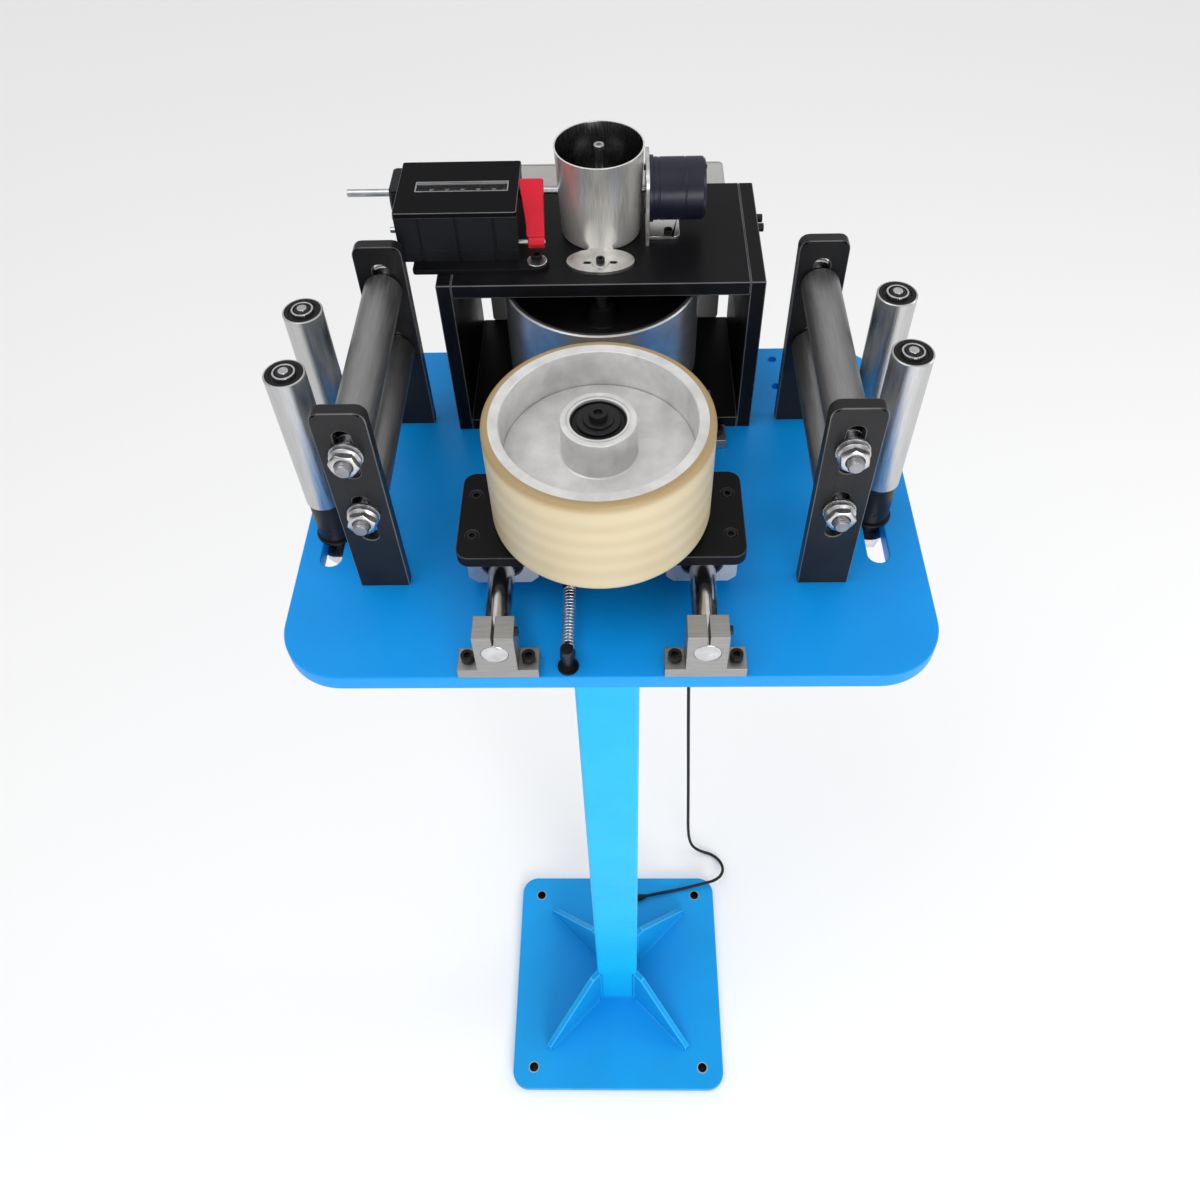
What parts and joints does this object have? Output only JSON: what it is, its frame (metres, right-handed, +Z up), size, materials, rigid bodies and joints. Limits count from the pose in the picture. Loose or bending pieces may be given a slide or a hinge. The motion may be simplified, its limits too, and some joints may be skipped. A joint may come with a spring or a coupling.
{
  "type": "cable length counter",
  "caption": "Column-mounted cable length counter: blue table plate, sprung press wheel, steel measuring wheel, mechanical counter, encoder and adjustable guide rollers.",
  "frame": {"origin": "on the floor under the middle of the column, which is the centre of the base plate's anchor holes", "axes": "+Z up the column, +X to the operator's right along the cable's path, +Y away from the operator"},
  "size_m": [0.5, 0.49, 1.361],
  "materials": {
    "plate_blue": "satin powder coat",
    "column_blue": "satin powder coat",
    "anodised_black": "black anodised",
    "roller_steel": "ground steel",
    "axle_steel": "zinc plated",
    "shaft_steel": "hard chrome",
    "support_aluminium": "natural",
    "block_aluminium": "natural",
    "sleeve_steel": "ground",
    "hub_aluminium": "turned",
    "tyre_cream": "cast polyurethane",
    "bearing_steel": "ground, black shields",
    "wheel_steel": "polished",
    "cup_steel": "drawn stainless",
    "gear_steel": "machined",
    "screw_black": "black oxide",
    "case_black": "matte",
    "window_glass": "clear",
    "number_black": "white numerals",
    "lever_red": "gloss",
    "encoder_black": "black anodised",
    "box_grey": "light grey",
    "gland_plastic": "matte",
    "cable_black": "matte jacket",
    "spring_steel": "bright wire",
    "post_black": "black oxide"
  },
  "bodies": {
    "stand": {"base_plate": "column_blue", "column": "column_blue", "base_gussets": "column_blue", "head_flange": "column_blue", "top_plate": "plate_blue", "left_uprights": "anodised_black", "right_uprights": "anodised_black", "frame_top": "anodised_black", "frame_sides": "anodised_black", "frame_bottom": "anodised_black", "junction_box": "box_grey", "cable_gland": "gland_plastic", "output_cable": "cable_black", "output_plug": "gland_plastic", "shaft_supports": "support_aluminium", "guide_shafts": "shaft_steel", "spindle_bearings": "bearing_steel", "gear_cup": "cup_steel", "encoder_bracket": "axle_steel", "counter_case": "case_black", "counter_window": "window_glass", "counter_works": "gear_steel", "encoder_body": "encoder_black", "cap_screws": "screw_black"},
    "carriage": {"carriage_plate": "anodised_black", "bearing_blocks": "block_aluminium", "linear_bearings": "sleeve_steel", "carriage_screws": "screw_black", "press_axle": "axle_steel", "press_spring": "spring_steel"},
    "press_wheel": {"press_wheel_hub": "hub_aluminium", "press_wheel_tyre": "tyre_cream", "press_wheel_bearings": "bearing_steel"},
    "measuring_wheel": {"measuring_wheel": "wheel_steel", "measuring_spindle": "gear_steel"},
    "layshaft": {"layshaft": "gear_steel"},
    "counter_shaft": {"counter_shaft": "gear_steel"},
    "encoder_shaft": {"encoder_shaft": "gear_steel"},
    "reset_lever": {"reset_lever": "lever_red"},
    "number_wheel_1": {"number_wheel_1": "number_black"},
    "number_wheel_2": {"number_wheel_2": "number_black"},
    "number_wheel_3": {"number_wheel_3": "number_black"},
    "number_wheel_4": {"number_wheel_4": "number_black"},
    "number_wheel_5": {"number_wheel_5": "number_black"},
    "upper_left_axle": {"upper_left_axle": "axle_steel"},
    "upper_left_roller": {"upper_left_roller": "roller_steel"},
    "lower_left_axle": {"lower_left_axle": "axle_steel"},
    "lower_left_roller": {"lower_left_roller": "roller_steel"},
    "upper_right_axle": {"upper_right_axle": "axle_steel"},
    "upper_right_roller": {"upper_right_roller": "roller_steel"},
    "lower_right_axle": {"lower_right_axle": "axle_steel"},
    "lower_right_roller": {"lower_right_roller": "roller_steel"},
    "front_left_post": {"front_left_post": "post_black"},
    "front_left_roller": {"front_left_roller": "roller_steel"},
    "rear_left_post": {"rear_left_post": "post_black"},
    "rear_left_roller": {"rear_left_roller": "roller_steel"},
    "front_right_post": {"front_right_post": "post_black"},
    "front_right_roller": {"front_right_roller": "roller_steel"},
    "rear_right_post": {"rear_right_post": "post_black"},
    "rear_right_roller": {"rear_right_roller": "roller_steel"}
  },
  "joints": [
    {"name": "carriage_slide", "type": "slide", "parent": "stand", "child": "carriage", "axis": [0, 1, 0], "range_m": [-0.025, 0.0175], "stiffness_N_per_m": 400, "deforming": ["press_spring"]},
    {"name": "press_wheel_spin", "type": "hinge", "parent": "carriage", "child": "press_wheel", "pos_m": [0, -0.01, 1.196], "axis": [0, 0, 1], "continuous": true},
    {"name": "measuring_wheel_spin", "type": "hinge", "parent": "stand", "child": "measuring_wheel", "pos_m": [0, 0.1706, 1.22], "axis": [0, 0, 1], "continuous": true},
    {"name": "layshaft_spin", "type": "hinge", "parent": "stand", "child": "layshaft", "pos_m": [0, 0.2111, 1.28], "axis": [0, 0, 1], "continuous": true},
    {"name": "counter_shaft_spin", "type": "hinge", "parent": "stand", "child": "counter_shaft", "pos_m": [-0.1, 0.2111, 1.322], "axis": [1, 0, 0], "continuous": true},
    {"name": "encoder_shaft_spin", "type": "hinge", "parent": "stand", "child": "encoder_shaft", "pos_m": [0.04, 0.2111, 1.322], "axis": [1, 0, 0], "continuous": true},
    {"name": "number_wheel_1_spin", "type": "hinge", "parent": "stand", "child": "number_wheel_1", "pos_m": [-0.0829, 0.1981, 1.322], "axis": [1, 0, 0], "continuous": true},
    {"name": "number_wheel_2_spin", "type": "hinge", "parent": "stand", "child": "number_wheel_2", "pos_m": [-0.0952, 0.1981, 1.322], "axis": [1, 0, 0], "continuous": true},
    {"name": "number_wheel_3_spin", "type": "hinge", "parent": "stand", "child": "number_wheel_3", "pos_m": [-0.1075, 0.1981, 1.322], "axis": [1, 0, 0], "continuous": true},
    {"name": "number_wheel_4_spin", "type": "hinge", "parent": "stand", "child": "number_wheel_4", "pos_m": [-0.1198, 0.1981, 1.322], "axis": [1, 0, 0], "continuous": true},
    {"name": "number_wheel_5_spin", "type": "hinge", "parent": "stand", "child": "number_wheel_5", "pos_m": [-0.1321, 0.1981, 1.322], "axis": [1, 0, 0], "continuous": true},
    {"name": "reset_lever_swing", "type": "hinge", "parent": "stand", "child": "reset_lever", "pos_m": [-0.05, 0.171, 1.302], "axis": [1, 0, 0], "range_deg": [0, 40], "stiffness_Nm_per_rad": 0.02, "springref_deg": -5.73},
    {"name": "upper_left_axle_slide", "type": "slide", "parent": "stand", "child": "upper_left_axle", "axis": [0, 0, 1], "range_m": [-0.017, 0.015]},
    {"name": "upper_left_roller_spin", "type": "hinge", "parent": "upper_left_axle", "child": "upper_left_roller", "pos_m": [-0.1715, 0.06, 1.279], "axis": [0, 1, 0], "continuous": true},
    {"name": "lower_left_axle_slide", "type": "slide", "parent": "stand", "child": "lower_left_axle", "axis": [0, 0, 1], "range_m": [-0.024, 0.011]},
    {"name": "lower_left_roller_spin", "type": "hinge", "parent": "lower_left_axle", "child": "lower_left_roller", "pos_m": [-0.1715, 0.06, 1.218], "axis": [0, 1, 0], "continuous": true},
    {"name": "upper_right_axle_slide", "type": "slide", "parent": "stand", "child": "upper_right_axle", "axis": [0, 0, 1], "range_m": [-0.017, 0.015]},
    {"name": "upper_right_roller_spin", "type": "hinge", "parent": "upper_right_axle", "child": "upper_right_roller", "pos_m": [0.1715, 0.06, 1.279], "axis": [0, 1, 0], "continuous": true},
    {"name": "lower_right_axle_slide", "type": "slide", "parent": "stand", "child": "lower_right_axle", "axis": [0, 0, 1], "range_m": [-0.024, 0.011]},
    {"name": "lower_right_roller_spin", "type": "hinge", "parent": "lower_right_axle", "child": "lower_right_roller", "pos_m": [0.1715, 0.06, 1.218], "axis": [0, 1, 0], "continuous": true},
    {"name": "front_left_post_slide", "type": "slide", "parent": "stand", "child": "front_left_post", "axis": [0, 1, 0], "range_m": [-0.028, 0.02]},
    {"name": "front_left_roller_spin", "type": "hinge", "parent": "front_left_post", "child": "front_left_roller", "pos_m": [-0.22, 0.02, 1.23], "axis": [0, 0, 1], "continuous": true},
    {"name": "rear_left_post_slide", "type": "slide", "parent": "stand", "child": "rear_left_post", "axis": [0, 1, 0], "range_m": [-0.015, 0.039]},
    {"name": "rear_left_roller_spin", "type": "hinge", "parent": "rear_left_post", "child": "rear_left_roller", "pos_m": [-0.22, 0.089, 1.23], "axis": [0, 0, 1], "continuous": true},
    {"name": "front_right_post_slide", "type": "slide", "parent": "stand", "child": "front_right_post", "axis": [0, 1, 0], "range_m": [-0.042, 0.006]},
    {"name": "front_right_roller_spin", "type": "hinge", "parent": "front_right_post", "child": "front_right_roller", "pos_m": [0.22, 0.034, 1.23], "axis": [0, 0, 1], "continuous": true},
    {"name": "rear_right_post_slide", "type": "slide", "parent": "stand", "child": "rear_right_post", "axis": [0, 1, 0], "range_m": [-0.026, 0.028]},
    {"name": "rear_right_roller_spin", "type": "hinge", "parent": "rear_right_post", "child": "rear_right_roller", "pos_m": [0.22, 0.1, 1.23], "axis": [0, 0, 1], "continuous": true}
  ],
  "couplings": [
    {"joint": "layshaft_spin", "follows": "measuring_wheel_spin", "ratio": -0.5},
    {"joint": "counter_shaft_spin", "follows": "measuring_wheel_spin", "ratio": 0.5},
    {"joint": "encoder_shaft_spin", "follows": "measuring_wheel_spin", "ratio": -0.5},
    {"joint": "number_wheel_1_spin", "follows": "measuring_wheel_spin", "ratio": -0.5},
    {"joint": "number_wheel_2_spin", "follows": "measuring_wheel_spin", "ratio": -0.05},
    {"joint": "number_wheel_3_spin", "follows": "measuring_wheel_spin", "ratio": -0.005},
    {"joint": "number_wheel_4_spin", "follows": "measuring_wheel_spin", "ratio": -0.0005},
    {"joint": "number_wheel_5_spin", "follows": "measuring_wheel_spin", "ratio": -0.00005}
  ]
}
